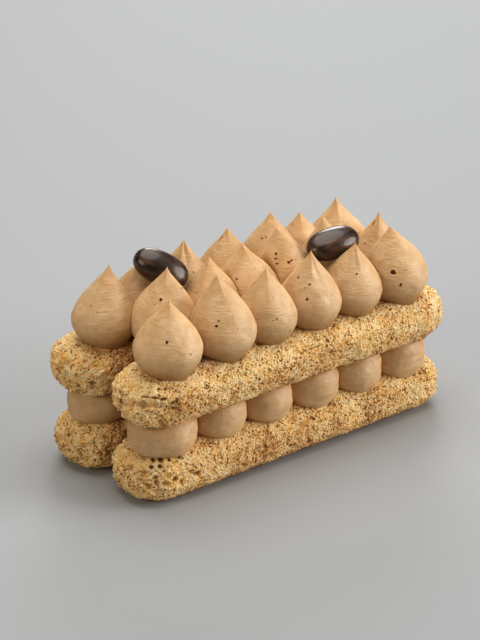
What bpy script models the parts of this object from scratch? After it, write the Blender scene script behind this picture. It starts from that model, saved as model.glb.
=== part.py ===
"""Ladyfinger mille feuille slice: two layers of sponge biscuits with piped cream and coffee beans.

Two ladyfinger biscuits lie side by side, two rows of squashed cream balls lie on them, two more
biscuits lie on those, and three rows of piped cream dollops with two coffee beans finish the top.
Units are metres and +Z is up. X runs along the biscuits and the shown side faces -Y. The origin is
on the surface that the slice stands on, in the middle of its outline.
"""

import math
from typing import NamedTuple

import bmesh
import bpy
from mathutils import Euler, Vector, noise

MM = 0.001

# Biscuits
BISCUIT_WIDTH = 22.6 * MM
BISCUIT_THICKNESS = 15.1 * MM
SECTION_EXPONENT = 2.8          # 2 is an ellipse, larger is boxier
END_EXPONENT = 2.5
TRAY_FLAT = 0.35 * MM           # how much of the rounded underside the baking tray flattened
CRAG_DEPTH = 1.2 * MM
CRAG_SIZE = 4.5 * MM
SMOOTH_UNDERSIDE = 0.9          # how far down the sides the crags reach, from 0 to 1
BISCUIT_RINGS = 30
BISCUIT_SIDES = 22

# Cream between the layers
FILLING_GAP = 7.0 * MM          # between the crowns of a lower and an upper biscuit
FILLING_CONTACT = 0.76          # contact radius as a share of the ball's radius
FILLING_RINGS = 8
FILLING_SIDES = 14

# Dollops
DOLLOP_WIDEST_AT = 5.7 * MM     # height of the widest ring above the biscuit
DOLLOP_CONTACT = 0.70
DOLLOP_RINGS = 11
DOLLOP_BASE_RINGS = 2
DOLLOP_SIDES = 14
GROOVE_SAG = 2.4 * MM           # how far cream sinks between two biscuits

# Gaps between touching pieces
TOUCH_GAP = 0.3 * MM
BED_GAP = 0.5 * MM

# Coffee beans
BEAN_LENGTH = 16.0 * MM
BEAN_WIDTH = 9.3 * MM
BEAN_THICKNESS = 7.6 * MM
BEAN_CREASE_DEPTH = 0.8 * MM
BEAN_CREASE_WIDTH = 1.3 * MM
BEAN_RINGS = 12
BEAN_SIDES = 14

LOWER_Z = BISCUIT_THICKNESS / 2 - TRAY_FLAT
UPPER_Z = LOWER_Z + BISCUIT_THICKNESS + FILLING_GAP
TOP_Z = UPPER_Z + BISCUIT_THICKNESS / 2



class Biscuit(NamedTuple):
    """Where a biscuit lies: length and centre in metres, yaw in degrees.

    arch is how far its middle rises above its ends.
    """

    length: float
    x: float
    y: float
    z: float
    yaw: float
    arch: float


class Dollop(NamedTuple):
    """A piped dollop in millimetres, with the lean of its peak.

    A larger belly keeps the shoulder full for longer, and a larger taper draws the peak out
    thinner.
    """

    x: float
    y: float
    radius: float
    height: float
    lean_x: float
    lean_y: float
    belly: float = 1.75
    taper: float = 1.42


BISCUITS = {
    "biscuit_lower_front": Biscuit(107.0 * MM, 1.3 * MM, -11.0 * MM, LOWER_Z, 0.5, 0.0),
    "biscuit_lower_back": Biscuit(107.2 * MM, -0.7 * MM, 12.7 * MM, LOWER_Z, 0.0, 0.0),
    "biscuit_upper_front": Biscuit(106.4 * MM, 0.9 * MM, -12.8 * MM, UPPER_Z, -0.3, 0.5 * MM),
    "biscuit_upper_back": Biscuit(107.9 * MM, -0.8 * MM, 13.0 * MM, UPPER_Z, 0.0, 0.3 * MM),
}

# Larger hollows where the crust broke open: biscuit, x, y, z, radius and depth in millimetres,
# with x, y and z measured from the biscuit's own centre.
CRATERS = (
    ("biscuit_upper_front", -46.0, -9.5, -1.0, 5.0, 1.3),
    ("biscuit_upper_front", -51.0, -3.0, 3.5, 3.5, 0.9),
    ("biscuit_upper_front", 14.0, -10.5, -3.0, 5.0, 0.9),
    ("biscuit_upper_front", 47.0, -9.0, -3.0, 4.5, 1.0),
    ("biscuit_lower_front", -48.5, -7.5, 2.5, 4.5, 1.1),
    ("biscuit_lower_front", -40.0, -10.5, 1.0, 4.0, 0.9),
    ("biscuit_lower_front", 20.0, -10.5, 0.0, 5.0, 0.8),
    ("biscuit_upper_back", -50.5, -6.0, -2.5, 4.5, 1.2),
    ("biscuit_upper_back", 30.0, 10.5, 0.0, 5.0, 1.0),
    ("biscuit_upper_back", -20.0, 10.5, -2.0, 4.5, 1.0),
    ("biscuit_lower_back", -51.0, -5.0, 0.0, 4.5, 1.1),
    ("biscuit_lower_back", 5.0, 10.5, 1.0, 5.0, 1.0),
    ("biscuit_lower_back", 45.0, 8.5, -1.0, 4.5, 1.0),
)

# Cream balls between the layers: centre x, centre y and radius in millimetres
FILLING_FRONT = (
    (-39.7, -12.9, 9.4),
    (-22.4, -13.6, 8.2),
    (-6.6, -13.9, 8.0),
    (9.2, -14.1, 8.2),
    (24.6, -14.3, 8.0),
    (40.0, -14.4, 8.0),
)
FILLING_BACK = (
    (-42.2, 12.3, 8.9),
    (-26.8, 12.2, 8.3),
    (-11.0, 11.6, 8.1),
    (4.6, 12.4, 8.4),
    (20.4, 11.9, 8.0),
    (36.2, 12.3, 8.5),
)

DOLLOPS_FRONT = (
    Dollop(-38.3, -14.0, 9.4, 20.1, 0.3, -0.4),
    Dollop(-20.7, -14.4, 9.2, 22.1, -0.8, 1.4, 1.85, 1.3),
    Dollop(-5.7, -14.0, 8.5, 19.9, 0.0, 0.0),
    Dollop(9.0, -14.1, 8.9, 21.0, 0.2, -0.5),
    Dollop(23.5, -14.1, 8.8, 19.4, 0.8, -0.9),
    Dollop(38.7, -14.9, 9.2, 20.2, -1.4, 1.2, 2.0, 1.35),
)
DOLLOPS_MIDDLE = (
    Dollop(-29.5, 0.0, 9.4, 21.6, 1.0, -0.5, 1.85, 1.42),
    Dollop(-14.1, 0.2, 9.3, 20.2, 0.1, 0.0),
    Dollop(-1.4, -0.2, 9.6, 21.1, -1.5, 0.8, 2.1, 1.6),
    Dollop(12.1, 0.0, 9.1, 22.3, -2.6, 0.7, 1.7, 1.05),
    Dollop(26.1, 0.1, 8.9, 21.0, -0.5, 0.5, 1.4, 1.1),
    Dollop(43.6, -0.9, 8.5, 18.4, 0.6, -0.2, 1.25),
)
DOLLOPS_BACK = (
    Dollop(-40.7, 11.4, 9.2, 20.7, 1.8, 0.2, 1.7),
    Dollop(-28.6, 12.5, 9.3, 17.0, -1.5, 0.6, 1.6, 1.1),
    Dollop(-14.1, 12.5, 9.2, 20.8, 0.5, -0.2),
    Dollop(1.5, 12.1, 9.4, 20.3, -0.2, 0.4),
    Dollop(16.4, 12.4, 9.4, 20.7, 0.3, 0.4),
    Dollop(26.7, 12.0, 8.7, 18.5, -0.4, 0.1, 1.6),
    Dollop(39.9, 11.9, 9.3, 19.6, -0.8, 0.1, 1.55, 1.5),
)

# Beans: centre x, centre y and height of the centre above the upper biscuits, in millimetres, then
# roll about the long axis, dip of the long axis and yaw, in degrees
BEANS = {
    "coffee_bean_left": (-25.5, 6.6, 17.5, 34.0, 28.0, -36.5),
    "coffee_bean_right": (22.9, -7.0, 16.4, 21.5, -4.5, -4.0),
}

# Colours as linear RGB
CRUMB_COLOUR = (0.53, 0.31, 0.10, 1.0)
CREAM_COLOUR = (0.52, 0.31, 0.16, 1.0)
BEAN_COLOUR = (0.030, 0.016, 0.012, 1.0)


def clear_scene():
    """Remove every object that the file opened with."""
    for scene_object in list(bpy.data.objects):
        bpy.data.objects.remove(scene_object, do_unlink=True)


def make_material(name, colour, roughness):
    """Return a Principled material with one colour."""
    material = bpy.data.materials.new(name)
    material.use_nodes = True
    shader = material.node_tree.nodes["Principled BSDF"]
    shader.inputs["Base Color"].default_value = colour
    shader.inputs["Roughness"].default_value = roughness
    shader.inputs["Metallic"].default_value = 0.0
    return material


def make_collection(name):
    """Return a new collection linked to the scene."""
    collection = bpy.data.collections.new(name)
    bpy.context.scene.collection.children.link(collection)
    return collection


def unit_sphere(sides, rings):
    """Return a bmesh sphere of radius 1 with its poles on Z."""
    mesh = bmesh.new()
    bmesh.ops.create_uvsphere(mesh, u_segments=sides, v_segments=rings, radius=1.0)
    return mesh


def finish_piece(mesh, name, collection, colour, roughness):
    """Turn a bmesh into a triangulated, smooth shaded object with its own material."""
    bmesh.ops.recalc_face_normals(mesh, faces=mesh.faces)
    bmesh.ops.triangulate(mesh, faces=mesh.faces)
    data = bpy.data.meshes.new(name)
    mesh.to_mesh(data)
    mesh.free()
    data.shade_smooth()
    data.materials.append(make_material(name + "_finish", colour, roughness))
    piece = bpy.data.objects.new(name, data)
    collection.objects.link(piece)
    return piece


def superellipse_gauge(along, across, height):
    """Return how far a point lies out from a biscuit's core, where 1 is its smooth surface."""
    half_width = BISCUIT_WIDTH / 2
    half_thickness = BISCUIT_THICKNESS / 2
    plan = (abs(along / half_width) ** END_EXPONENT
            + abs(across / half_width) ** END_EXPONENT) ** (1 / END_EXPONENT)
    return (plan ** SECTION_EXPONENT
            + abs(height / half_thickness) ** SECTION_EXPONENT) ** (1 / SECTION_EXPONENT)


def biscuit_surface_point(core_half, polar, around):
    """Return the smooth surface point and its direction for a place on the biscuit.

    polar runs from 0 at the +X end to 1 at the -X end by length, and around is the angle about
    the long axis.
    """
    end_arc = math.pi / 2 * BISCUIT_WIDTH / 2
    total = 2 * end_arc + 2 * core_half
    travelled = polar * total
    if travelled < end_arc:
        swing = travelled / end_arc * math.pi / 2
        core_x = core_half
    elif travelled < total - end_arc:
        swing = math.pi / 2
        core_x = core_half - (travelled - end_arc)
    else:
        swing = math.pi / 2 + (travelled - total + end_arc) / end_arc * math.pi / 2
        core_x = -core_half
    out = Vector((math.cos(swing), math.sin(swing) * math.cos(around), math.sin(swing) * math.sin(around)))
    if abs(out.x) < 1e-9:
        out.x = 0.0
    reach = 1 / superellipse_gauge(out.x, out.y, out.z)
    return Vector((core_x, 0, 0)) + out * reach, out


def crag_depth(name, point, out, seed):
    """Return how deep the crust's relief goes at a point of a biscuit's own frame.

    out is the way the crust faces there. The underside, which lay on the tray, stays smooth.
    """
    place = point / CRAG_SIZE + Vector((seed, 0, 0))
    depth = CRAG_DEPTH * max(0.0, noise.noise(place) * 0.7 + abs(noise.noise(place * 2.1)) * 0.6)
    depth *= min(1.0, max(0.0, (out.z + SMOOTH_UNDERSIDE) * 2.5))
    for owner, x, y, z, radius, hollow in CRATERS:
        if owner != name:
            continue
        away = (point - Vector((x, y, z)) * MM).length / (radius * MM)
        if away < 1:
            depth += hollow * MM * (1 - away * away)
    return depth


def build_biscuit(name, collection):
    """Build one ladyfinger: a long superellipse form with a craggy crust and a flat underside."""
    biscuit = BISCUITS[name]
    core_half = (biscuit.length - BISCUIT_WIDTH) / 2
    seed = 11.0 * (1 + list(BISCUITS).index(name))
    mesh = unit_sphere(BISCUIT_SIDES, BISCUIT_RINGS)
    for vertex in mesh.verts:
        polar = math.acos(max(-1.0, min(1.0, vertex.co.z))) / math.pi
        around = math.atan2(vertex.co.y, vertex.co.x)
        point, out = biscuit_surface_point(core_half, polar, around)
        point -= out * crag_depth(name, point, out, seed)
        point.z = max(point.z, TRAY_FLAT - BISCUIT_THICKNESS / 2) + arch_rise(biscuit, point.x)
        vertex.co = point
    turn = Euler((0, 0, math.radians(biscuit.yaw))).to_matrix().to_4x4()
    turn.translation = Vector((biscuit.x, biscuit.y, biscuit.z))
    bmesh.ops.transform(mesh, matrix=turn, verts=mesh.verts)
    return finish_piece(mesh, name, collection, CRUMB_COLOUR, 0.85)


def arch_rise(biscuit, along):
    """Return how far an arched biscuit's middle rises at a place along it."""
    return biscuit.arch * max(0.0, 1 - (2 * along / biscuit.length) ** 2)


def face_heights(biscuit, x, y):
    """Return the heights of a biscuit's smooth underside and top at a place in plan.

    Both sag no more than GROOVE_SAG from its crowns, as the cream that they carry does.
    """
    turn = math.radians(biscuit.yaw)
    along = (x - biscuit.x) * math.cos(turn) + (y - biscuit.y) * math.sin(turn)
    across = -(x - biscuit.x) * math.sin(turn) + (y - biscuit.y) * math.cos(turn)
    past_core = max(0.0, abs(along) - (biscuit.length - BISCUIT_WIDTH) / 2)
    plan = min(1.0, superellipse_gauge(past_core, across, 0.0))
    half = BISCUIT_THICKNESS / 2
    drop = min(GROOVE_SAG, half * (1 - (1 - plan ** SECTION_EXPONENT) ** (1 / SECTION_EXPONENT)))
    middle = biscuit.z + arch_rise(biscuit, along)
    return middle - half + max(drop, TRAY_FLAT), middle + half - drop


def bed_height(x, y):
    """Return the height of the bed that the two upper biscuits make for the dollops."""
    return max(face_heights(BISCUITS["biscuit_upper_" + side], x, y)[1] for side in ("front", "back"))


def squeeze_planes(index, centres):
    """Return the upright planes where a round piece meets its neighbours.

    centres holds x, y and radius of every piece in the bed. Each plane is a direction in plan and
    how far along it from the piece's centre its cream may reach.
    """
    x, y, radius = centres[index]
    planes = []
    for other, (other_x, other_y, other_radius) in enumerate(centres):
        across = Vector((other_x - x, other_y - y))
        distance = across.length
        if other == index or distance > radius + other_radius + TOUCH_GAP:
            continue
        reach = (distance ** 2 + radius ** 2 - other_radius ** 2) / (2 * distance)
        planes.append((across.normalized(), reach - TOUCH_GAP / 2))
    return planes


def keep_inside(offset, planes):
    """Return an offset in plan from a piece's centre, pushed back behind the planes."""
    for _ in range(12):
        for direction, reach in planes:
            beyond = offset.dot(direction) - reach
            if beyond > 0:
                offset = offset - direction * beyond
    return offset


def belly_radius(height, widest_at, contact):
    """Return the radius below the widest ring, as a share of it, for a height above the bed."""
    below = (widest_at - height) / widest_at
    return math.sqrt(1 - (1 - contact ** 2) * below ** 2)


def dollop_profile(ring, total_height, belly, taper):
    """Return radius share and height for a ring of a dollop, from 0 at the peak down.

    The last rings lie on the bed, where the height is None.
    """
    last_flank = DOLLOP_RINGS - DOLLOP_BASE_RINGS
    if ring > last_flank:
        return DOLLOP_CONTACT * (DOLLOP_RINGS - ring) / DOLLOP_BASE_RINGS, None
    if ring == last_flank:
        return DOLLOP_CONTACT, None
    height = total_height * (1 - (ring / last_flank) ** 1.15)
    if height < DOLLOP_WIDEST_AT:
        return belly_radius(height, DOLLOP_WIDEST_AT, DOLLOP_CONTACT), height
    up = (height - DOLLOP_WIDEST_AT) / (total_height - DOLLOP_WIDEST_AT)
    return (1 - up ** belly) ** taper, height


def build_dollop(name, dollop, place, bed, beans, collection):
    """Build one piped dollop: a round belly drawn up to a leaning peak, squeezed by its bed."""
    x, y, radius, total_height, lean_x, lean_y = [value * MM for value in dollop[:6]]
    planes = squeeze_planes(place, bed)
    mesh = unit_sphere(DOLLOP_SIDES, DOLLOP_RINGS)
    for vertex in mesh.verts:
        ring = round(math.acos(max(-1.0, min(1.0, vertex.co.z))) / math.pi * DOLLOP_RINGS)
        around = math.atan2(vertex.co.y, vertex.co.x)
        share, height = dollop_profile(ring, total_height, dollop.belly, dollop.taper)
        offset = Vector((math.cos(around), math.sin(around))) * radius * share
        if height is not None:
            swing = max(0.0, (height - DOLLOP_WIDEST_AT) / (total_height - DOLLOP_WIDEST_AT)) ** 2
            offset += Vector((lean_x, lean_y)) * swing
        offset = keep_inside(offset, planes)
        if height is None:
            rise = bed_height(x + offset.x, y + offset.y) + BED_GAP
        else:
            rise = TOP_Z + height
        vertex.co = Vector((x + offset.x, y + offset.y, rise))
    piece = finish_piece(mesh, name, collection, CREAM_COLOUR, 0.55)
    for bean in beans:
        press_in(piece, bean)
    return piece


def build_filling(name, row, place, bed, collection):
    """Build one cream ball, squashed between a lower and an upper biscuit and by its row."""
    x, y, radius = [value * MM for value in row]
    planes = squeeze_planes(place, bed)
    half_rings = FILLING_RINGS / 2
    mesh = unit_sphere(FILLING_SIDES, FILLING_RINGS)
    for vertex in mesh.verts:
        ring = round(math.acos(max(-1.0, min(1.0, vertex.co.z))) / math.pi * FILLING_RINGS)
        around = math.atan2(vertex.co.y, vertex.co.x)
        from_rim = min(ring, FILLING_RINGS - ring)
        outward = Vector((math.cos(around), math.sin(around)))
        share = FILLING_CONTACT * min(from_rim, 2) / 2
        if from_rim > 2:
            swing = (from_rim - 2) / (half_rings - 2)
            share = belly_radius(swing, 1.0, FILLING_CONTACT)
        offset = keep_inside(outward * radius * share, planes)
        low, high = filling_faces(name, x + offset.x, y + offset.y)
        rise = 0.5
        if from_rim < half_rings:
            rise += (0.5 if ring < half_rings else -0.5) * min(1, (half_rings - from_rim) / (half_rings - 2))
        vertex.co = Vector((x + offset.x, y + offset.y, low + (high - low) * rise))
    return finish_piece(mesh, name, collection, CREAM_COLOUR, 0.55)


def filling_faces(name, x, y):
    """Return the heights where a filling piece meets the biscuit below and the one above."""
    side = "front" if "front" in name else "back"
    low = face_heights(BISCUITS["biscuit_lower_" + side], x, y)[1] + BED_GAP
    high = face_heights(BISCUITS["biscuit_upper_" + side], x, y)[0] - BED_GAP
    return low, high


def bean_mesh(grow):
    """Return a bean lying along X, domed on top and flatter below with a crease, grown by grow."""
    mesh = unit_sphere(BEAN_SIDES, BEAN_RINGS)
    for vertex in mesh.verts:
        along, across, up = vertex.co.z, vertex.co.x, vertex.co.y
        x = along * BEAN_LENGTH / 2
        y = across * BEAN_WIDTH / 2
        z = up * BEAN_THICKNESS / 2
        if up < 0:
            z = -BEAN_THICKNESS / 2 * abs(up) ** 0.8 * 0.8
            if grow == 0:
                z += BEAN_CREASE_DEPTH * math.exp(-(y / BEAN_CREASE_WIDTH) ** 2) * (1 - along ** 2)
        vertex.co = Vector((x, y, z))
    mesh.normal_update()
    if grow:
        moved = [vertex.co + vertex.normal * grow for vertex in mesh.verts]
        for vertex, place in zip(mesh.verts, moved):
            vertex.co = place
    return mesh


def place_bean(piece, name):
    """Move and turn a bean to where it lies on the dollops."""
    x, y, height, roll, dip, yaw = BEANS[name]
    piece.location = (x * MM, y * MM, TOP_Z + height * MM)
    piece.rotation_euler = Euler((math.radians(roll), math.radians(dip), math.radians(yaw)))


def build_bean(name, collection, cutters):
    """Build one coffee bean and the cutter that presses its shape into the cream."""
    piece = finish_piece(bean_mesh(0.0), name, collection, BEAN_COLOUR, 0.2)
    place_bean(piece, name)
    cutter = finish_piece(bean_mesh(TOUCH_GAP), name + "_cutter", cutters, BEAN_COLOUR, 0.2)
    place_bean(cutter, name)
    cutter.hide_render = True
    cutter.display_type = "WIRE"
    return cutter


def press_in(piece, cutter):
    """Cut a bean's shape out of a piece of cream."""
    dent = piece.modifiers.new("dent_" + cutter.name, "BOOLEAN")
    dent.operation = "DIFFERENCE"
    dent.solver = "EXACT"
    dent.object = cutter


def main():
    """Build the whole slice."""
    clear_scene()
    slice_pieces = make_collection("mille_feuille_slice")
    cutters = make_collection("cutters")
    for name in BISCUITS:
        build_biscuit(name, slice_pieces)
    for side, rows in (("front", FILLING_FRONT), ("back", FILLING_BACK)):
        bed = [(x * MM, y * MM, radius * MM) for x, y, radius in rows]
        for place, row in enumerate(rows):
            build_filling("filling_%s_%d" % (side, place + 1), row, place, bed, slice_pieces)
    bean_cutters = {name: build_bean(name, slice_pieces, cutters) for name in BEANS}
    dents = {
        "coffee_bean_left": ("dollop_back_2", "dollop_back_3", "dollop_middle_1", "dollop_middle_2"),
        "coffee_bean_right": ("dollop_front_4", "dollop_front_5", "dollop_middle_4", "dollop_middle_5"),
    }
    rows = [("dollop_front_%d", DOLLOPS_FRONT), ("dollop_middle_%d", DOLLOPS_MIDDLE),
            ("dollop_back_%d", DOLLOPS_BACK)]
    named = [(label % (place + 1), row) for label, group in rows for place, row in enumerate(group)]
    bed = [(row[0] * MM, row[1] * MM, row[2] * MM) for _, row in named]
    for place, (name, row) in enumerate(named):
        pressed = [bean_cutters[bean] for bean, hit in dents.items() if name in hit]
        build_dollop(name, row, place, bed, pressed, slice_pieces)


main()
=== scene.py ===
"""Looks of a ladyfinger mille feuille slice: porous sponge, piped coffee cream and chocolate beans.

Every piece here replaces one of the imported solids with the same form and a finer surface. Shapes are
worked out in millimetres, in the model's own frame: x runs along the biscuits, the shown side faces
-y and z is up from the surface that the slice stands on.
"""

import itertools
import logging
import math
from dataclasses import dataclass
from enum import Enum
from typing import Any, NamedTuple

import bmesh
import bpy
import numpy as np
from mathutils import Euler, Matrix, Vector, noise


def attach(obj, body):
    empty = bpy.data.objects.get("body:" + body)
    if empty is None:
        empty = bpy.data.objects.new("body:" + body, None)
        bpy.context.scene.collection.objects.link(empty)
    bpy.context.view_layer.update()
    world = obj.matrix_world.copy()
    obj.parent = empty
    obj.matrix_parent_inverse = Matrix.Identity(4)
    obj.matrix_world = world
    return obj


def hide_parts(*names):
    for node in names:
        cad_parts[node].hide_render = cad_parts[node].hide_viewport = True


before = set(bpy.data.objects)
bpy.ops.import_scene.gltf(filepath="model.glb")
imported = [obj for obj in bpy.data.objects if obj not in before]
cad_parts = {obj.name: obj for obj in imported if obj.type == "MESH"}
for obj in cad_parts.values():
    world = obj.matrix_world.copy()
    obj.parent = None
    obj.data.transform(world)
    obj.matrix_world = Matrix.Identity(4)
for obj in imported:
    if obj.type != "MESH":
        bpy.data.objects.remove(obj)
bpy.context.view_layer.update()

MM = 0.001
LOG = logging.getLogger("slice")

Array = np.ndarray
Colour = tuple[float, float, float, float]


def srgb(red: int, green: int, blue: int) -> Colour:
    """Work out a linear colour.

    Args:
        red: The screen's red, from 0 to 255.
        green: The screen's green, from 0 to 255.
        blue: The screen's blue, from 0 to 255.

    Returns:
        The colour as a shader's sockets take it.
    """
    channels = [value / 255 for value in (red, green, blue)]
    linear = [value / 12.92 if value <= 0.04045 else ((value + 0.055) / 1.055) ** 2.4 for value in channels]
    return (linear[0], linear[1], linear[2], 1.0)


def smooth_step(low: float, high: float, value: Array) -> Array:
    """Return a smooth rise from 0 at low to 1 at high, or a fall where low is the larger one."""
    share = np.clip((value - low) / (high - low), 0.0, 1.0)
    return share * share * (3 - 2 * share)


class Slot(Enum):
    """The material slots."""

    SPONGE = "sponge"
    CREAM = "cream"
    CHOCOLATE = "chocolate"


class Side(Enum):
    """The two rows of biscuits."""

    FRONT = "front"
    BACK = "back"


class Grit:
    """Seeded noise in space, worked out for whole arrays of points at once."""

    MIXERS = (0x9E3779B97F4A7C15, 0xC2B2AE3D27D4EB4F, 0x165667B19E3779F9, 0xD6E8FEB86659FD93)
    STIRRER = 0xBF58476D1CE4E5B9
    KEPT_BITS = 24

    def __init__(self, seed: int) -> None:
        """Keep the seed that sets this noise apart from others."""
        self.seed = seed

    def draws(self, cells: Array, salt: int) -> Array:
        """Return an even random number from 0 to 1 for each lattice cell.

        Args:
            cells: Whole coordinates, one row for each cell.
            salt: Which of a cell's random numbers is wanted.

        Returns:
            One number for each row.
        """
        keys = cells.astype(np.int64).view(np.uint64)
        mixed = np.full(len(keys), np.uint64((self.seed * 131 + salt) * self.MIXERS[3] % 2**64))
        for axis in range(3):
            mixed ^= keys[:, axis] * np.uint64(self.MIXERS[axis])
            mixed ^= mixed >> np.uint64(31)
            mixed *= np.uint64(self.STIRRER)
        mixed ^= mixed >> np.uint64(29)
        return (mixed >> np.uint64(64 - self.KEPT_BITS)).astype(float) / 2**self.KEPT_BITS

    def cloud(self, points: Array, size: float, salt: int = 0) -> Array:
        """Work out soft noise.

        Args:
            points: The points, one row each.
            size: About how far the patches reach across.
            salt: Sets one pattern apart from another.

        Returns:
            A number from -1 to 1 for each point.
        """
        scaled = points / size
        corner = np.floor(scaled)
        share = scaled - corner
        fade = share * share * (3 - 2 * share)
        total = np.zeros(len(points))
        for step in itertools.product((0, 1), repeat=3):
            weight = np.prod(np.where(np.array(step) == 1, fade, 1 - fade), axis=1)
            total += weight * self.draws(corner + step, salt)
        return total * 2 - 1

    def warp(self, points: Array, size: float, reach: float) -> Array:
        """Return points pushed about by up to reach, by noise of the given size."""
        push = np.stack([self.cloud(points, size, salt) for salt in (11, 12, 13)], axis=1)
        return points + push * reach

    def cells(self, points: Array, size: float, salt: int) -> tuple[Array, Array, Array]:
        """Sort points into uneven cells of about the given size.

        Args:
            points: The points, one row each.
            size: The spacing of the cells' centres.
            salt: The first of the four random numbers that this pattern takes from each cell.

        Returns:
            The distances to the nearest and second nearest centre as shares of size, and the
            nearest cell's own random number.
        """
        scaled = points / size
        corner = np.floor(scaled)
        near = np.full(len(points), np.inf)
        second = near.copy()
        chance = np.zeros(len(points))
        for step in itertools.product((-1, 0, 1), repeat=3):
            cell = corner + step
            centre = cell + np.stack([self.draws(cell, salt + axis) for axis in range(3)], axis=1)
            away = np.linalg.norm(scaled - centre, axis=1)
            closer = away < near
            second = np.where(closer, near, np.minimum(second, away))
            chance = np.where(closer, self.draws(cell, salt + 3), chance)
            near = np.where(closer, away, near)
        return near, second, chance


class Link:
    """A shader socket that Python's arithmetic works on."""

    def __init__(self, shade: "Shade", socket: bpy.types.NodeSocket) -> None:
        """Keep the socket and the material that it belongs to."""
        self.shade = shade
        self.socket = socket

    def _maths(self, operation: str, first: Any, second: Any) -> "Link":
        """Return the outcome of one Math node."""
        return self.shade.node("ShaderNodeMath", {"operation": operation}, {0: first, 1: second})

    def __add__(self, other: Any) -> "Link":
        """Return the sum."""
        return self._maths("ADD", self, other)

    def __radd__(self, other: Any) -> "Link":
        """Return the sum."""
        return self._maths("ADD", other, self)

    def __sub__(self, other: Any) -> "Link":
        """Return the difference."""
        return self._maths("SUBTRACT", self, other)

    def __rsub__(self, other: Any) -> "Link":
        """Return the difference the other way round."""
        return self._maths("SUBTRACT", other, self)

    def __mul__(self, other: Any) -> "Link":
        """Return the product."""
        return self._maths("MULTIPLY", self, other)

    def __rmul__(self, other: Any) -> "Link":
        """Return the product."""
        return self._maths("MULTIPLY", other, self)


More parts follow.
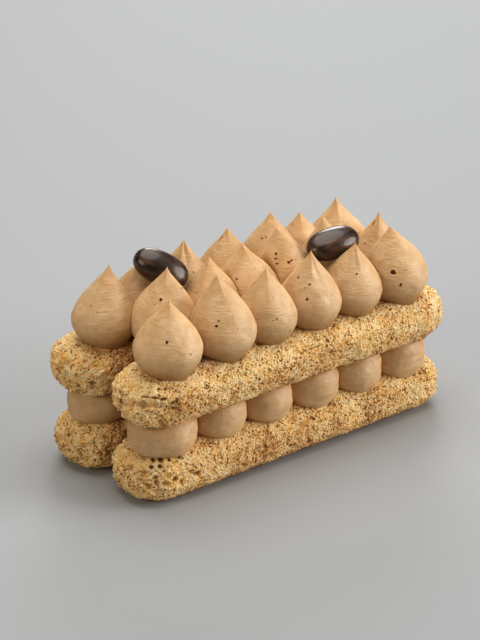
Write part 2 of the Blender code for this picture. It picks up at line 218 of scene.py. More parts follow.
class Shade:
    """A material being made: adds nodes and joins their sockets."""

    def __init__(self, name: str) -> None:
        """Start a material that holds one Principled shader.

        Args:
            name: The material's name.
        """
        self.material = bpy.data.materials.new(name)
        self.material.use_nodes = True
        self.tree = self.material.node_tree
        self.shader = self.tree.nodes["Principled BSDF"]

    def node(
        self, kind: str, settings: dict[str, Any], inputs: dict[int | str, Any], output: int | str = 0
    ) -> Link:
        """Add a node.

        Args:
            kind: Blender's type name of the node.
            settings: Properties that are set first. A ramp's stops are a list of place and colour.
            inputs: Values or links for its sockets, by name or number.
            output: Which of its outputs is wanted.

        Returns:
            That output.
        """
        made = self.tree.nodes.new(kind)
        for name, value in settings.items():
            if name == "stops":
                self._set_stops(made.color_ramp, value)
            else:
                setattr(made, name, value)
        for name, value in inputs.items():
            self.feed(made.inputs[name], value)
        return Link(self, made.outputs[output])

    def feed(self, socket: bpy.types.NodeSocket, value: Any) -> None:
        """Set a socket to a value, or link it.

        Args:
            socket: The socket of a node that is fed.
            value: What it gets: a link, or a plain value.
        """
        if isinstance(value, Link):
            self.tree.links.new(value.socket, socket)
        else:
            socket.default_value = value

    @staticmethod
    def _set_stops(ramp: bpy.types.ColorRamp, stops: list[tuple[float, Colour]]) -> None:
        """Give a colour ramp its stops.

        Args:
            ramp: The ramp of a new node.
            stops: Each stop's place from 0 to 1 and its colour.
        """
        while len(ramp.elements) < len(stops):
            ramp.elements.new(1.0)
        for element, (place, colour) in zip(ramp.elements, stops):
            element.position = place
            element.color = colour

    def mix(self, share: Any, first: Any, second: Any) -> Link:
        """Return two colours mixed by a share."""
        return self.node("ShaderNodeMix", {"data_type": "RGBA"}, {0: share, 6: first, 7: second}, 2)

    def scale(self, colour: Any, factor: Any) -> Link:
        """Return a colour made brighter or darker by a factor."""
        return self.node("ShaderNodeVectorMath", {"operation": "SCALE"}, {0: colour, "Scale": factor})

    def stored(self, name: str) -> Link:
        """Return a value that the mesh stores at its points."""
        return self.node("ShaderNodeAttribute", {"attribute_name": name}, {}, "Fac")

    def rise(self, value: Any, low: float, high: float) -> Link:
        """Return a smooth rise from 0 at low to 1 at high."""
        inputs = {"Value": value, "From Min": low, "From Max": high}
        return self.node("ShaderNodeMapRange", {"interpolation_type": "SMOOTHSTEP"}, inputs)

    def place(self, stretch: tuple[float, float, float] = (1.0, 1.0, 1.0)) -> Link:
        """Find the point that is shaded.

        Args:
            stretch: How many times a pattern there is drawn out along each axis.

        Returns:
            The point in millimetres.
        """
        point = self.node("ShaderNodeTexCoord", {}, {}, "Object")
        factors = tuple(1 / (MM * value) for value in stretch)
        return self.node("ShaderNodeVectorMath", {"operation": "MULTIPLY"}, {0: point, 1: factors})

    def crumpled(self, place: Link, reach: float) -> Link:
        """Push points about, so that patterns there lose their evenness.

        Args:
            place: The points in millimetres.
            reach: How far they are pushed at most.

        Returns:
            The points after the push.
        """
        wave = self.node("ShaderNodeTexNoise", {}, {"Vector": place, "Scale": 1.0, "Detail": 2.0}, "Color")
        push = self.node("ShaderNodeVectorMath", {"operation": "SCALE"}, {0: wave, "Scale": reach * 2})
        return self.node("ShaderNodeVectorMath", {"operation": "ADD"}, {0: place, 1: push})

    def noise(self, place: Link, size: float, detail: float) -> Link:
        """Return noise from 0 to 1 whose patches are about size across."""
        inputs = {"Vector": place, "Scale": 1 / size, "Detail": detail}
        return self.node("ShaderNodeTexNoise", {}, inputs)

    def cells(self, place: Link, size: float) -> tuple[Link, Link]:
        """Sort points into uneven cells.

        Args:
            place: The points in millimetres.
            size: The spacing of the cells.

        Returns:
            The distance to the middle of the cell as a share of size, and the cell's own random
            number, which is its random colour made grey by a Math node.
        """
        inputs = {"Vector": place, "Scale": 1 / size}
        away = self.node("ShaderNodeTexVoronoi", {}, inputs, "Distance")
        colour = Link(self, away.socket.node.outputs["Color"])
        return away, colour * 1.0

    def bump(self, height: Any, depth: float, under: Link | None = None) -> Link:
        """Turn a height into a normal.

        Args:
            height: The height, from 0 to 1.
            depth: How many millimetres that is.
            under: The normal of a coarser bump that this one lies on.

        Returns:
            The normal.
        """
        inputs = {"Height": height, "Distance": depth * MM, "Strength": 1.0}
        if under is not None:
            inputs["Normal"] = under
        return self.node("ShaderNodeBump", {}, inputs)

    def set(self, **sockets: Any) -> None:
        """Set or link the Principled shader's sockets, with _ for each space in a name."""
        for name, value in sockets.items():
            self.feed(self.shader.inputs[name.replace("_", " ")], value)


@dataclass(frozen=True)
class SpongeFinish:
    """Dry ladyfinger crumb: pale grains, golden crust and caramel hollows, with painted shade in the
    hollows.
    """

    pale: Colour = srgb(255, 227, 176)
    cream: Colour = srgb(255, 211, 144)
    golden: Colour = srgb(246, 192, 118)
    caramel: Colour = srgb(198, 141, 76)
    hollow: Colour = srgb(102, 64, 28)
    toasted: Colour = srgb(208, 150, 92)
    stain: Colour = srgb(248, 190, 98)
    glow: float = 0.12
    glow_radius: tuple[float, float, float] = (1.6 * MM, 0.9 * MM, 0.4 * MM)
    dusting: float = 0.12
    dusting_roughness: float = 0.5
    roughness: float = 0.85
    specular: float = 0.2
    grain_size: float = 0.62
    crumb_size: float = 0.6
    patch_size: float = 2.2
    dot_size: float = 0.95
    dot_edge: tuple[float, float] = (0.42, 0.12)
    dot_chance: tuple[float, float] = (0.34, 0.3)
    stain_size: float = 3.2
    stain_edge: tuple[float, float] = (0.46, 0.66)
    stain_share: float = 0.4
    crumple: float = 0.3
    crumb_height: float = 0.85
    grain_height: float = 0.4
    tint_height: float = 0.08
    dot_height: float = 0.15
    middle_height: float = 0.69
    middle_level: float = 0.63
    contrast: float = 0.95
    stops: tuple[float, ...] = (0.35, 0.43, 0.5, 0.58, 0.68)
    bump_depth: float = 1.0

    def make(self) -> bpy.types.Material:
        """Make the finish.

        Returns:
            The material.
        """
        shade = Shade("sponge_finish")
        opened = shade.stored("open")
        hollow = shade.stored("hollow")
        toast_and_painted_light = shade.stored("toast_and_painted_light")
        place = shade.crumpled(shade.place(), self.crumple)
        grain, tint = shade.cells(place, self.grain_size)
        dot, chance = shade.cells(place, self.dot_size)
        dots = shade.rise(dot, *self.dot_edge) * shade.rise(chance - opened * 0.25, *self.dot_chance)
        crumbs = shade.noise(place, self.crumb_size, 3.0)
        height = crumbs * self.crumb_height + (1 - grain) * self.grain_height
        height = height + tint * self.tint_height - dots * self.dot_height
        # The stored toasting also holds painted shade lower down the sides and painted light on the ends,
        # which darken and lighten the crumb here and below.
        level = (height - self.middle_height) * (self.contrast + opened * 0.35 - toast_and_painted_light * 0.5)
        level = level + self.middle_level + (shade.noise(place, self.patch_size, 1.0) - 0.5) * 0.5
        level = level - toast_and_painted_light * 0.1
        # The colour follows the bump's height: the crumb's own pale and golden grains, with painted shade
        # in the low spots and painted light on the high ones.
        colours = (self.hollow, self.caramel, self.golden, self.cream, self.pale)
        ramp = {"stops": list(zip(self.stops, colours))}
        colour = shade.node("ShaderNodeValToRGB", ramp, {"Fac": level})
        stain = shade.rise(shade.noise(place, self.stain_size, 2.0), *self.stain_edge)
        colour = shade.mix(stain * (self.stain_share - toast_and_painted_light * 0.3), colour, self.stain)
        colour = shade.mix(toast_and_painted_light * 0.5, colour, self.toasted)
        # Painted shade: the hollows and the pores' dots turn caramel and then dark brown.
        colour = shade.mix(hollow, colour, self.caramel)
        colour = shade.mix(shade.rise(hollow + dots * 0.25, 0.3, 1.1), colour, self.hollow)
        shade.set(
            Base_Color=colour,
            Roughness=self.roughness,
            Specular_IOR_Level=self.specular,
            Subsurface_Weight=self.glow,
            Subsurface_Radius=self.glow_radius,
            Subsurface_Scale=1.0,
            Sheen_Weight=self.dusting,
            Sheen_Roughness=self.dusting_roughness,
            Sheen_Tint=self.pale,
            Normal=shade.bump(height, self.bump_depth),
        )
        return shade.material


@dataclass(frozen=True)
class CreamFinish:
    """Soft satin coffee cream with fine level ridges from the piping, and painted light and shade."""

    light: Colour = srgb(215, 180, 136)
    deep: Colour = srgb(204, 164, 116)
    warmth_and_painted_light: Colour = srgb(205, 153, 88)
    hollow: Colour = srgb(112, 66, 30)
    mottle_size: float = 3.5
    ridge_size: float = 0.5
    ridge_stretch: tuple[float, float, float] = (5.0, 5.0, 1.0)
    ridge_patch: float = 4.0
    ridge_depth: float = 0.26
    silk_size: float = 0.5
    silk_depth: float = 0.09
    speck_size: float = 2.3
    speck_edge: tuple[float, float] = (0.11, 0.05)
    speck_chance: tuple[float, float] = (0.56, 0.52)
    roughness: float = 0.42
    specular: float = 0.5
    glow: float = 0.1
    glow_radius: tuple[float, float, float] = (0.9 * MM, 0.65 * MM, 0.45 * MM)

    def make(self) -> bpy.types.Material:
        """Make the finish.

        Returns:
            The material.
        """
        shade = Shade("cream_finish")
        place = shade.place()
        mottle = shade.noise(place, self.mottle_size, 4.0)
        ridges = shade.noise(shade.place(self.ridge_stretch), self.ridge_size, 3.0)
        ridges = ridges * shade.rise(shade.noise(place, self.ridge_patch, 1.0), 0.3, 0.6)
        silk = shade.noise(place, self.silk_size, 2.0)
        speck, chance = shade.cells(place, self.speck_size)
        bubble = shade.rise(speck, *self.speck_edge) * shade.rise(chance, *self.speck_chance)
        colour = shade.mix(shade.rise(mottle, 0.3, 0.7), self.light, self.deep)
        # A slight warm colour for the fillings, plus painted glow at the dollops' crowns and warm painted
        # shade at their feet and the fillings' rims.
        colour = shade.mix(shade.stored("warmth_and_painted_light"), colour, self.warmth_and_painted_light)
        colour = shade.scale(colour, 0.95 + ridges * 0.14)
        # Each piece's own lightness, with painted highlights at the tips and painted shade at the feet, the
        # rims and the row's left end.
        colour = shade.scale(colour, shade.stored("tone_and_painted_light"))
        # Painted shade in the pits and in the small sunk specks.
        colour = shade.mix(shade.stored("hollow") + bubble * 0.35, colour, self.hollow)
        normal = shade.bump(ridges, self.ridge_depth)
        normal = shade.bump(silk - bubble, self.silk_depth, normal)
        shade.set(
            Base_Color=colour,
            Roughness=self.roughness + mottle * 0.16,
            Specular_IOR_Level=self.specular,
            Subsurface_Weight=self.glow,
            Subsurface_Radius=self.glow_radius,
            Subsurface_Scale=1.0,
            Normal=normal,
        )
        return shade.material


@dataclass(frozen=True)
class ChocolateFinish:
    """Glossy dark chocolate with fine streaks along the bean."""

    dark: Colour = srgb(24, 11, 6)
    streak: Colour = srgb(84, 52, 32)
    shine: Colour = (1.0, 0.78, 0.62, 1.0)
    streak_edge: tuple[float, float] = (0.4, 0.85)
    streak_depth: float = 0.04
    roughness: float = 0.3
    coat: float = 0.4
    coat_roughness: float = 0.12
    coat_ior: float = 1.45
    specular: float = 0.6

    def make(self) -> bpy.types.Material:
        """Make the finish.

        Returns:
            The material.
        """
        shade = Shade("chocolate_finish")
        grain = shade.stored("streak")
        colour = shade.mix(shade.rise(grain, *self.streak_edge), self.dark, self.streak)
        shade.set(
            Base_Color=colour,
            Roughness=self.roughness + grain * 0.14,
            Coat_Weight=self.coat,
            Coat_Roughness=self.coat_roughness,
            Coat_IOR=self.coat_ior,
            Specular_IOR_Level=self.specular,
            Specular_Tint=self.shine,
            Normal=shade.bump(grain, self.streak_depth),
        )
        return shade.material


@dataclass(frozen=True)
class FloorFinish:
    """Plain pale studio floor."""

    colour: Colour = srgb(160, 161, 162)
    roughness: float = 0.7
    specular: float = 0.2

    def make(self) -> bpy.types.Material:
        """Make the finish.

        Returns:
            The material.
        """
        shade = Shade("floor_finish")
        shade.set(Base_Color=self.colour, Roughness=self.roughness, Specular_IOR_Level=self.specular)
        return shade.material


@dataclass(frozen=True)
class Wrap:
    """A closed skin of rings between two poles."""

    rings: int
    sides: int

    def places(self) -> tuple[Array, Array]:
        """Number the points, from the first pole to the last.

        Returns:
            Each point's ring number and its angle on that ring.
        """
        ring = np.repeat(np.arange(1, self.rings), self.sides)
        angle = np.tile(np.arange(self.sides) * math.tau / self.sides, self.rings - 1)
        return np.concatenate(([0], ring, [self.rings])), np.concatenate(([0.0], angle, [0.0]))

    def faces(self) -> list[list[int]]:
        """Join the points.

        Returns:
            Each face's points by number, in the order that turns it outwards.
        """
        grid = 1 + np.arange((self.rings - 1) * self.sides).reshape(self.rings - 1, self.sides)
        turned = np.roll(grid, -1, axis=1)
        last = grid[-1, -1] + 1
        start = np.stack([np.zeros(self.sides, int), grid[0], turned[0]], axis=1)
        body = np.stack([grid[:-1], grid[1:], turned[1:], turned[:-1]], axis=-1).reshape(-1, 4)
        end = np.stack([np.full(self.sides, last), turned[-1], grid[-1]], axis=1)
        return start.tolist() + body.tolist() + end.tolist()


def add_object(name: str, data: Any) -> bpy.types.Object:
    """Add an object to the scene.

    Args:
        name: Its name.
        data: Its mesh, light or lens.

    Returns:
        The object.
    """
    added = bpy.data.objects.new(name, data)
    bpy.context.scene.collection.objects.link(added)
    return added


def new_mesh(name: str, points: Array, wrap: Wrap, stored: dict[str, Array]) -> bpy.types.Mesh:
    """Make a smooth mesh.

    Args:
        name: Its name.
        points: The points in millimetres.
        wrap: The skin that joins them.
        stored: Values to keep at the points, by name.

    Returns:
        The mesh, in metres.
    """
    mesh = bpy.data.meshes.new(name)
    mesh.from_pydata((points * MM).tolist(), [], wrap.faces())
    mesh.shade_smooth()
    for label, values in stored.items():
        layer = mesh.attributes.new(label, "FLOAT", "POINT")
        layer.data.foreach_set("value", values.astype(np.float32))
    return mesh


def place_piece(mesh: bpy.types.Mesh, node: str, finish: bpy.types.Material) -> bpy.types.Object:
    """Stand a mesh in for the node of the same name.

    Args:
        mesh: The finished mesh.
        node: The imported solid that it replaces.
        finish: Its material.

    Returns:
        The new piece.
    """
    mesh.materials.append(finish)
    piece = add_object(node + "_surface", mesh)
    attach(piece, "root")
    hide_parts(node)
    return piece


class Crater(NamedTuple):
    """A dip where a biscuit's crust broke open, in its own frame in millimetres."""

    x: float
    y: float
    z: float
    radius: float
    depth: float


class Hole(NamedTuple):
    """A small hole in a biscuit, in its own frame in millimetres.

    stretch is how many times longer than high it is, and dark is from 0, a shallow dip in caramel
    colour, to 1, a deep hole in dark brown painted shade.
    """

    x: float
    y: float
    z: float
    radius: float
    stretch: float
    dark: float


LOWER_FRONT_HOLES = (
    Hole(-47.6, -6.1, 6.0, 0.58, 1.0, 1.00), Hole(-45.9, -7.2, 5.9, 0.58, 1.1, 1.00),
    Hole(-44.0, -8.2, 5.7, 0.49, 1.0, 1.00), Hole(-40.8, -8.6, 5.6, 0.44, 1.4, 0.90),
    Hole(-48.8, -7.0, 4.6, 0.49, 1.3, 0.90), Hole(-46.8, -8.2, 4.6, 0.49, 1.2, 1.00),
    Hole(-45.1, -9.2, 4.6, 0.41, 1.0, 0.70), Hole(-41.1, -10.0, 4.2, 0.29, 1.3, 0.80),
    Hole(-46.3, -9.2, 3.6, 0.35, 1.0, 0.70), Hole(-44.1, -10.6, 2.7, 0.35, 1.0, 0.70),
    Hole(-51.0, -6.4, 3.1, 0.81, 1.0, 0.50), Hole(-48.5, -8.6, 2.0, 0.58, 1.0, 0.80),
    Hole(-48.6, -9.1, 0.7, 0.70, 1.0, 0.60), Hole(-45.4, -10.2, 2.2, 0.58, 1.0, 0.50),
    Hole(-43.7, -11.0, 0.7, 0.79, 1.0, 0.80), Hole(-41.3, -10.6, -1.0, 0.76, 1.0, 0.60),
    Hole(-52.7, -2.4, 3.6, 0.81, 1.0, 0.45), Hole(-52.8, 0.3, 2.8, 0.58, 1.0, 0.50),
    Hole(-52.9, 2.6, 0.7, 0.58, 1.0, 0.45), Hole(-50.3, -8.2, -0.5, 0.81, 1.2, 0.50),
    Hole(-48.5, -3.8, 6.4, 0.70, 1.0, 0.45), Hole(-46.4, -10.0, 0.2, 0.76, 1.0, 0.45),
    Hole(-36.2, -11.2, 0.2, 0.76, 1.0, 0.80), Hole(-37.3, -11.0, 0.2, 0.47, 1.0, 0.70),
    Hole(-52.0, -5.6, 1.1, 0.58, 1.0, 0.40), Hole(-52.4, -4.8, -2.1, 0.99, 1.4, 0.35),
    Hole(-48.0, -9.9, -2.3, 0.87, 1.4, 0.35), Hole(-38.2, -10.8, 1.1, 0.64, 1.0, 0.45),
    Hole(-50.0, -7.0, 3.5, 0.41, 1.0, 0.40), Hole(-38.7, -9.8, 4.7, 0.35, 1.0, 0.50),
)
UPPER_FRONT_HOLES = (
    Hole(-50.4, -6.6, 4.3, 0.28, 5.0, 0.80), Hole(-48.6, -8.4, 4.1, 0.32, 4.0, 0.95),
    Hole(-46.7, -9.5, 3.7, 0.38, 2.6, 1.00), Hole(-51.4, -6.6, 2.1, 0.99, 1.8, 0.50),
    Hole(-48.7, -8.7, 2.1, 0.70, 1.3, 0.50), Hole(-51.9, -4.6, 1.9, 0.64, 1.2, 0.45),
    Hole(-45.1, -8.3, 5.6, 0.49, 1.0, 0.80), Hole(-44.2, -8.5, 5.7, 0.32, 1.0, 0.80),
    Hole(-42.6, -9.8, 4.9, 0.32, 1.0, 0.80), Hole(-42.0, -10.2, 3.8, 0.26, 1.0, 0.70),
    Hole(-44.0, -10.4, 2.0, 0.49, 1.0, 0.80), Hole(-43.0, -10.4, 2.5, 0.52, 1.2, 0.85),
    Hole(-43.8, -10.3, 0.2, 0.38, 1.8, 0.80), Hole(-45.1, -9.9, 0.3, 0.35, 1.0, 0.75),
    Hole(-46.3, -9.6, 0.1, 0.32, 1.0, 0.70), Hole(-51.8, -5.3, -0.6, 0.35, 1.3, 0.70),
    Hole(-47.3, -9.0, -3.0, 0.44, 1.3, 0.70), Hole(-49.0, -8.0, -3.1, 0.32, 1.0, 0.65),
    Hole(-50.2, -7.4, -2.9, 0.29, 1.0, 0.60), Hole(-45.6, -8.6, -4.9, 0.35, 1.2, 0.60),
    Hole(-44.5, -9.7, -3.2, 0.35, 1.0, 0.70), Hole(-43.2, -9.8, -3.8, 0.32, 1.0, 0.70),
    Hole(-41.9, -9.9, -3.6, 0.35, 1.0, 0.70), Hole(-40.9, -10.1, -3.4, 0.32, 1.0, 0.70),
    Hole(-47.3, -9.3, -1.0, 0.32, 1.0, 0.50), Hole(-45.8, -9.6, -1.0, 0.29, 1.0, 0.50),
    Hole(-44.2, -9.9, -1.8, 0.29, 1.0, 0.50), Hole(-52.3, -2.3, -3.4, 0.35, 1.2, 0.50),
    Hole(-51.9, -3.7, -2.3, 0.29, 1.0, 0.50), Hole(-40.6, -10.8, 0.9, 0.41, 1.0, 0.70),
)


@dataclass(frozen=True)
class Biscuit:
    """One ladyfinger, in millimetres: a long superellipse form with a porous crust."""

    name: str
    length: float
    x: float
    y: float
    z: float
    yaw: float
    arch: float
    seed: int
    skin: Wrap
    craters: tuple[Crater, ...]
    holes: tuple[Hole, ...] = ()
    width: float = 22.6
    thickness: float = 15.1
    section_exponent: float = 2.8
    end_exponent: float = 2.5
    tray_flat: float = 0.35
    crag_depth: float = 1.2
    crag_size: float = 4.5
    smooth_underside: float = 0.9
    swell: float = 0.2
    wear: float = 0.6
    lump_size: float = 1.9
    lump_depth: float = 0.25
    grain_size: float = 0.95
    grain_depth: float = 0.26
    pore_size: float = 1.3
    pore_depth: float = 0.5
    cavern_size: float = 2.0
    cavern_depth: float = 0.55
    placed_end: tuple[float, float] = (-30.0, -36.0)

    def gauge(self, along: Array, across: Array, height: Array) -> Array:
        """Measure how far out points lie.

        Args:
            along: Places along the biscuit, from the end of its straight core.
            across: Places across it, from its middle.
            height: Heights from its middle.

        Returns:
            The share of the way from the core to the smooth surface, where 1 is on that surface.
        """
        half_width = self.width / 2
        flat = np.abs(along / half_width) ** self.end_exponent
        flat = flat + np.abs(across / half_width) ** self.end_exponent
        plan = flat ** (self.section_exponent / self.end_exponent)
        upright = np.abs(height / (self.thickness / 2)) ** self.section_exponent
        return (plan + upright) ** (1 / self.section_exponent)

    def smooth_surface(self) -> tuple[Array, Array]:
        """Shape the smooth form, with its rings from one end to the other.

        Returns:
            Its points, and the way that each faces.
        """
        ring, around = self.skin.places()
        end_arc = math.pi / 2 * self.width / 2
        core = self.length - self.width
        travelled = ring / self.skin.rings * (2 * end_arc + core)
        first = np.minimum(travelled, end_arc)
        last = np.maximum(travelled - end_arc - core, 0.0)
        swing = (first + last) / end_arc * math.pi / 2
        core_x = core / 2 - np.clip(travelled - end_arc, 0.0, core)
        level = np.sin(swing)
        out = np.stack([np.cos(swing), level * np.cos(around), level * np.sin(around)], axis=1)
        reach = 1 / self.gauge(out[:, 0], out[:, 1], out[:, 2])
        points = out * reach[:, None]
        points[:, 0] += core_x
        return points, out

    def crags(self, points: Array, out: Array) -> Array:
        """Work out the large relief, which the solid has a little deeper.

        Args:
            points: The smooth form's points.
            out: The way that each faces.

        Returns:
            The depth at each point in millimetres.
        """
        offset = Vector((11.0 * (1 + self.seed), 0, 0))
        depth = np.empty(len(points))
        for number, point in enumerate(points):
            place = Vector(point) / self.crag_size + offset
            depth[number] = noise.noise(place) * 0.7 + abs(noise.noise(place * 2.1)) * 0.6
        depth = self.crag_depth * self.wear * np.maximum(depth, 0.0)
        depth *= np.clip((out[:, 2] + self.smooth_underside) * 2.5, 0.0, 1.0)
        for crater in self.craters:
            away = np.linalg.norm(points - crater[:3], axis=1) / crater.radius
            depth += crater.depth * np.maximum(1 - away * away, 0.0)
        return depth

    def crumb(self, points: Array, out: Array) -> tuple[Array, dict[str, Array]]:
        """Work out the fine relief.

        Args:
            points: The smooth form's points.
            out: The way that each faces.

        Returns:
            The depth at each point in millimetres, and the values that the finish reads.
        """
        grit = Grit(self.seed)
        up = out[:, 2]
        # The crumb is open on the flanks, closer on top and smooth underneath.
        side = smooth_step(-0.95, -0.55, up) * (1 - 0.45 * smooth_step(0.3, 0.8, up))
        patch = grit.cloud(points, 6.0) * 0.6 + grit.cloud(points, 2.4, 1) * 0.4
        ends = smooth_step(0.8, 0.93, np.abs(points[:, 0]) / (self.length / 2))
        bent = grit.warp(points, 1.2, 0.35)
        lump, _, _ = grit.cells(bent, self.lump_size, 20)
        grain, _, _ = grit.cells(bent, self.grain_size, 30)
        pore, _, chance = grit.cells(bent, self.pore_size, 40)
        middle, wall, _ = grit.cells(bent, self.cavern_size, 50)
        opened = side * smooth_step(-0.35, 0.25, patch - 0.25 * ends - 0.2 * up)
        broken = smooth_step(0.3, 0.6, patch + ends * (0.35 - 0.7 * up)) * side
        if self.holes:
            # No chance caverns where the listed holes are placed.
            shown = smooth_step(*self.placed_end, points[:, 0]) * smooth_step(2.0, -2.0, points[:, 1])
            broken *= 1 - shown
        cavern = smooth_step(0.06, 0.35, wall - middle) * broken
        # Lumps and grains stand out at the middles of their cells, and pores sink in there.
        lumps = smooth_step(0.15, 0.95, lump) * self.lump_depth * (1 + 1.5 * ends)
        # The creases only darken the colour: painted shade between the lumps at the ends.
        crease = smooth_step(0.62, 0.95, lump) * ends * 0.45 * (1 - smooth_step(0.2, 0.8, up))
        grains = smooth_step(0.1, 0.85, grain) * self.grain_depth * (1 + 0.7 * ends)
        pores = (chance < 0.12 + 0.3 * opened) * smooth_step(0.36, 0.14, pore)
        hole_depth, hole_dark = self.placed_holes(grit.warp(points, 0.8, 0.13), out)
        depth = (lumps + grains) * (0.3 + 0.7 * side) + pores * self.pore_depth * side
        depth = depth + cavern * self.cavern_depth + hole_depth
        # Pores, caverns, end creases and the listed holes are stored for painted shade, with caramel colour
        # in the shallow ones.
        hollow = np.maximum(pores * 0.4 * side + cavern * 0.4 + crease, hole_dark)
        stored = {
            "hollow": np.clip(hollow, 0.0, 1.0),
            "open": opened,
            # Real toasting in patches, with painted shade lower down the sides and painted light on the
            # ends.
            "toast_and_painted_light": np.clip(0.25 - 0.5 * up + 1.1 * patch - 0.7 * ends, -0.5, 1.0),
        }
        return depth - self.swell, stored

    def placed_holes(self, points: Array, out: Array) -> tuple[Array, Array]:
        """Work out the listed holes.

        Args:
            points: The smooth form's points.
            out: The way that each faces.

        Returns:
            The depth at each point in millimetres, and how dark it is painted from 0 to 1: caramel colour
            in shallow holes and painted shade in deep ones.
        """
        depth = np.zeros(len(points))
        dark = np.zeros(len(points))
        for hole in self.holes:
            offset = points - (hole.x, hole.y, hole.z)
            lift = np.sum(offset * out, axis=1)
            offset -= out * lift[:, None]
            level = np.hypot(offset[:, 0], offset[:, 1]) / hole.stretch
            away = np.hypot(level, offset[:, 2]) / hole.radius
            inside = smooth_step(1.4, 0.7, away) * (np.abs(lift) < 4.0)
            depth = np.maximum(depth, inside * hole.radius * (0.3 + 0.8 * hole.dark))
            dark = np.maximum(dark, inside * hole.dark)
        return depth, dark

    def rise(self, along: Array) -> Array:
        """Return how far the arched middle rises at places along the biscuit."""
        return self.arch * np.maximum(1 - (2 * along / self.length) ** 2, 0.0)

    def faces_at(self, x: Array, y: Array, most_sag: float) -> tuple[Array, Array]:
        """Find the biscuit's smooth underside and top.

        Args:
            x: The places in plan, in the model's frame.
            y: The same.
            most_sag: How far the faces are followed down the biscuit's rounded edges.

        Returns:
            The heights of the underside and of the top there.
        """
        turn = math.radians(self.yaw)
        along = (x - self.x) * math.cos(turn) + (y - self.y) * math.sin(turn)
        across = -(x - self.x) * math.sin(turn) + (y - self.y) * math.cos(turn)
        past_core = np.maximum(np.abs(along) - (self.length - self.width) / 2, 0.0)
        plan = np.minimum(self.gauge(past_core, across, np.zeros_like(across)), 1.0)
        half = self.thickness / 2
        curve = (1 - plan**self.section_exponent) ** (1 / self.section_exponent)
        drop = np.minimum(half * (1 - curve), most_sag)
        middle = self.z + self.rise(along)
        return middle - half + drop, middle + half - drop

    def build(self, finish: bpy.types.Material) -> bpy.types.Object:
        """Build the biscuit's surface.

        Args:
            finish: Its material.

        Returns:
            The finished piece.
        """
        points, out = self.smooth_surface()
        fine, stored = self.crumb(points, out)
        points = points - out * (self.crags(points, out) + fine)[:, None]
        points[:, 2] = np.maximum(points[:, 2], self.tray_flat - self.thickness / 2)
        points[:, 2] += self.rise(points[:, 0])
        turn = np.array(Matrix.Rotation(math.radians(self.yaw), 3, "Z"))
        points = points @ turn.T + (self.x, self.y, self.z)
        mesh = new_mesh(self.name, points, self.skin, stored)
        return place_piece(mesh, self.name, finish)


@dataclass(frozen=True)
class Layers:
    """The four biscuits and the beds that they make for the cream."""

    front_skin: Wrap = Wrap(380, 230)
    back_skin: Wrap = Wrap(300, 180)
    lower_z: float = 7.2
    upper_z: float = 29.3
    groove_sag: float = 2.4
    sink: float = 0.5

    def biscuits(self) -> dict[str, Biscuit]:
        """Lay out the biscuits.

        Returns:
            Each biscuit by its layer and side.
        """
        low, high = self.lower_z, self.upper_z
        return {
            "lower_front": Biscuit(
                "biscuit_lower_front", 107.0, 1.3, -11.0, low, 0.5, 0.0, 0, self.front_skin,
                (Crater(-48.5, -7.5, 2.5, 4.5, 1.1), Crater(-40.0, -10.5, 1.0, 4.0, 0.9),
                 Crater(20.0, -10.5, 0.0, 5.0, 0.8)),
                LOWER_FRONT_HOLES,
            ),
            "lower_back": Biscuit(
                "biscuit_lower_back", 107.2, -0.7, 12.7, low, 0.0, 0.0, 1, self.back_skin,
                (Crater(-51.0, -5.0, 0.0, 4.5, 1.1), Crater(5.0, 10.5, 1.0, 5.0, 1.0),
                 Crater(45.0, 8.5, -1.0, 4.5, 1.0)),
            ),
            "upper_front": Biscuit(
                "biscuit_upper_front", 106.4, 0.9, -12.8, high, -0.3, 0.5, 2, self.front_skin,
                (Crater(-46.0, -9.5, -1.0, 5.0, 1.3), Crater(-51.0, -3.0, 3.5, 3.5, 0.9),
                 Crater(14.0, -10.5, -3.0, 5.0, 0.9), Crater(47.0, -9.0, -3.0, 4.5, 1.0)),
                UPPER_FRONT_HOLES,
            ),
            "upper_back": Biscuit(
                "biscuit_upper_back", 107.9, -0.8, 13.0, high, 0.0, 0.3, 3, self.back_skin,
                (Crater(-50.5, -6.0, -2.5, 4.5, 1.2), Crater(30.0, 10.5, 0.0, 5.0, 1.0),
                 Crater(-20.0, 10.5, -2.0, 4.5, 1.0)),
            ),
        }

    def deck(self) -> float:
        """Return the height of the upper biscuits' tops, from which the dollops are measured."""
        return self.upper_z + Biscuit.thickness / 2

    def top_bed(self, x: Array, y: Array) -> Array:
        """Find where the dollops end, just inside the upper biscuits.

        Args:
            x: Places in plan.
            y: The same.

        Returns:
            The heights there.
        """
        upper = [self.biscuits()["upper_" + side.value] for side in Side]
        tops = [biscuit.faces_at(x, y, self.groove_sag)[1] for biscuit in upper]
        return np.maximum(*tops) - self.sink

    def gap_faces(self, side: Side, x: Array, y: Array) -> tuple[Array, Array]:
        """Find where the cream between two layers ends, just inside both.

        Args:
            side: The row of biscuits.
            x: Places in plan.
            y: The same.

        Returns:
            The heights of the cream's underside and of its top there.
        """
        lower = self.biscuits()["lower_" + side.value].faces_at(x, y, self.groove_sag)[1]
        upper = self.biscuits()["upper_" + side.value].faces_at(x, y, self.groove_sag)[0]
        return lower - self.sink, upper + self.sink

    def build(self, finish: bpy.types.Material) -> list[bpy.types.Object]:
        """Build all four biscuits and return them."""
        return [biscuit.build(finish) for biscuit in self.biscuits().values()]


class Round(NamedTuple):
    """The plan of one piece of cream in its bed, in millimetres."""

    x: float
    y: float
    radius: float


SQUEEZE_PASSES = 12


